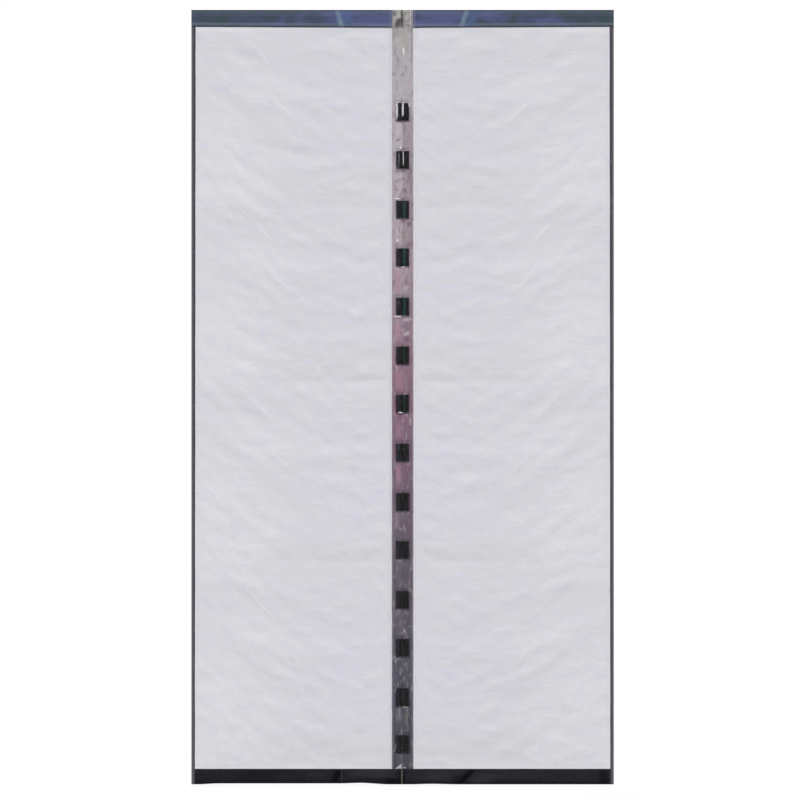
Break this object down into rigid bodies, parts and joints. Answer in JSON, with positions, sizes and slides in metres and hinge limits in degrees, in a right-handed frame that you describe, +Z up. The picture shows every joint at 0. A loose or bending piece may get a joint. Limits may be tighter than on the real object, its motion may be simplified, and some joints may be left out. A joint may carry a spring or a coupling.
{
  "type": "magnetic plastic door curtain",
  "caption": "Frosted plastic door curtain in two halves that close with magnets in clear sleeves along a middle split, bound in dark tape.",
  "frame": {"origin": "the middle of the back face of the loop tape behind the header, where the curtain presses on the door frame", "axes": "+X is to the right seen from the front, -Y faces the viewer, +Z is up"},
  "size_m": [1.2, 0.0069, 2.2],
  "materials": {
    "frosted_film": "satin",
    "clear_film": "gloss",
    "header_fabric": "matte",
    "binding_tape": "matte",
    "hem_satin": "satin",
    "loop_pile": "matte",
    "magnet_coat": "gloss"
  },
  "bodies": {
    "root": {"loop_tape": "loop_pile", "left_film_panel": "frosted_film", "left_magnet_sleeve": "clear_film", "left_header_band": "header_fabric", "left_side_binding": "binding_tape", "left_bottom_hem": "hem_satin", "left_magnet_01": "magnet_coat", "left_magnet_02": "magnet_coat", "left_magnet_03": "magnet_coat", "left_magnet_04": "magnet_coat", "left_magnet_05": "magnet_coat", "left_magnet_06": "magnet_coat", "left_magnet_07": "magnet_coat", "left_magnet_08": "magnet_coat", "left_magnet_09": "magnet_coat", "left_magnet_10": "magnet_coat", "left_magnet_11": "magnet_coat", "left_magnet_12": "magnet_coat", "left_magnet_13": "magnet_coat", "left_magnet_14": "magnet_coat", "right_film_panel": "frosted_film", "right_magnet_sleeve": "clear_film", "right_header_band": "header_fabric", "right_side_binding": "binding_tape", "right_bottom_hem": "hem_satin", "right_magnet_01": "magnet_coat", "right_magnet_02": "magnet_coat", "right_magnet_03": "magnet_coat", "right_magnet_04": "magnet_coat", "right_magnet_05": "magnet_coat", "right_magnet_06": "magnet_coat", "right_magnet_07": "magnet_coat", "right_magnet_08": "magnet_coat", "right_magnet_09": "magnet_coat", "right_magnet_10": "magnet_coat", "right_magnet_11": "magnet_coat", "right_magnet_12": "magnet_coat", "right_magnet_13": "magnet_coat", "right_magnet_14": "magnet_coat"}
  },
  "joints": []
}
